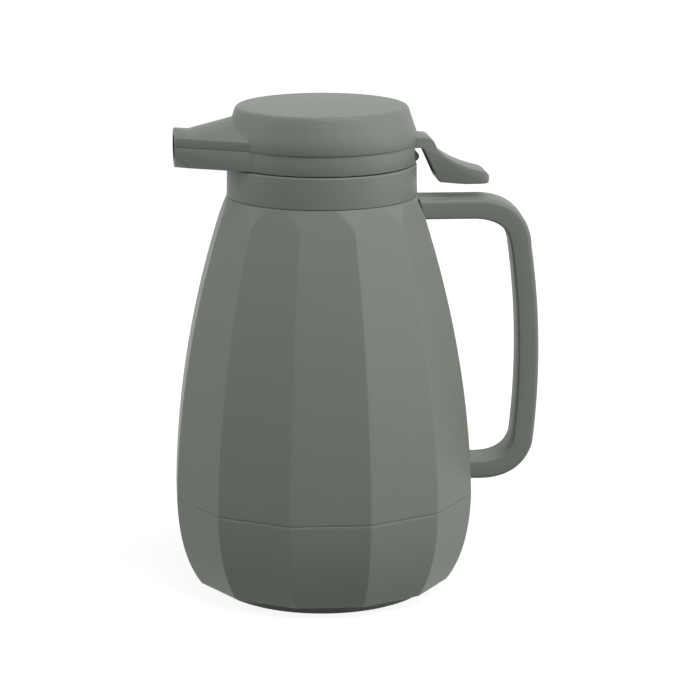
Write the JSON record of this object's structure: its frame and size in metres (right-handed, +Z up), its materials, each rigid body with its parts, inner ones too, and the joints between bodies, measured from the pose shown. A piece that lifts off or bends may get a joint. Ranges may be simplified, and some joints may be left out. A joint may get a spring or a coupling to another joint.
{
  "type": "thermal carafe",
  "caption": "Faceted thermal carafe with a loop handle, a screw lid with a closed spout, and a thumb lever that opens the pouring valve.",
  "frame": {"origin": "middle of the foot, on the surface that the carafe stands on", "axes": "+Z up along the axis of the flask, +X towards the handle and the thumb lever, -X towards the spout"},
  "size_m": [0.1812, 0.147, 0.2459],
  "materials": {
    "body_plastic": "satin grey-green moulded plastic",
    "base_plastic": "satin grey-green moulded plastic, a little glossier",
    "handle_plastic": "satin grey-green moulded plastic",
    "lid_plastic": "satin grey-green moulded plastic",
    "white_plastic": "natural uncoloured plastic",
    "flask_glass": "silvered glass",
    "foot_rubber": "dark non-slip rubber",
    "seal_silicone": "grey silicone",
    "screw_steel": "stainless steel"
  },
  "bodies": {
    "carafe": {"outer_shell": "body_plastic", "base_cup": "base_plastic", "foot_pad": "foot_rubber", "neck_collar": "body_plastic", "flask_liner": "flask_glass", "flask_jacket": "flask_glass", "flask_spacers": "white_plastic", "flask_cushion": "foot_rubber", "rim_gasket": "seal_silicone", "handle_shell": "handle_plastic", "handle_cover": "handle_plastic", "handle_screws": "screw_steel"},
    "seal": {"lid_gasket": "seal_silicone"},
    "lid": {"lid_base": "lid_plastic", "lid_cap": "lid_plastic", "plug_seal": "seal_silicone", "lid_screws": "screw_steel", "lever_pin": "screw_steel", "valve_spring": "screw_steel"},
    "lever": {"thumb_lever": "lid_plastic"},
    "valve": {"valve_stem": "screw_steel", "valve_disc": "white_plastic", "valve_seal": "seal_silicone", "stem_clip": "screw_steel"}
  },
  "joints": [
    {"name": "lid_rise", "type": "slide", "parent": "carafe", "child": "seal", "axis": [0, 0, 1], "range_m": [0, 0.008]},
    {"name": "lid_turn", "type": "hinge", "parent": "seal", "child": "lid", "pos_m": [0, 0, 0.2], "axis": [0, 0, 1], "range_deg": [0, 360]},
    {"name": "lever_press", "type": "hinge", "parent": "lid", "child": "lever", "pos_m": [0.03995, 0.00209, 0.2273], "axis": [-0.0523, 0.9986, 0], "range_deg": [0, 8.5], "stiffness_Nm_per_rad": 0.4, "springref_deg": -8.59},
    {"name": "valve_lift", "type": "slide", "parent": "lid", "child": "valve", "axis": [0, 0, 1], "range_m": [0, 0.00534], "deforming": ["valve_spring"]}
  ],
  "couplings": [
    {"joint": "lid_rise", "follows": "lid_turn", "m_per_rad": 0.0012732},
    {"joint": "lever_press", "follows": "valve_lift", "rad_per_m": 27.7}
  ]
}
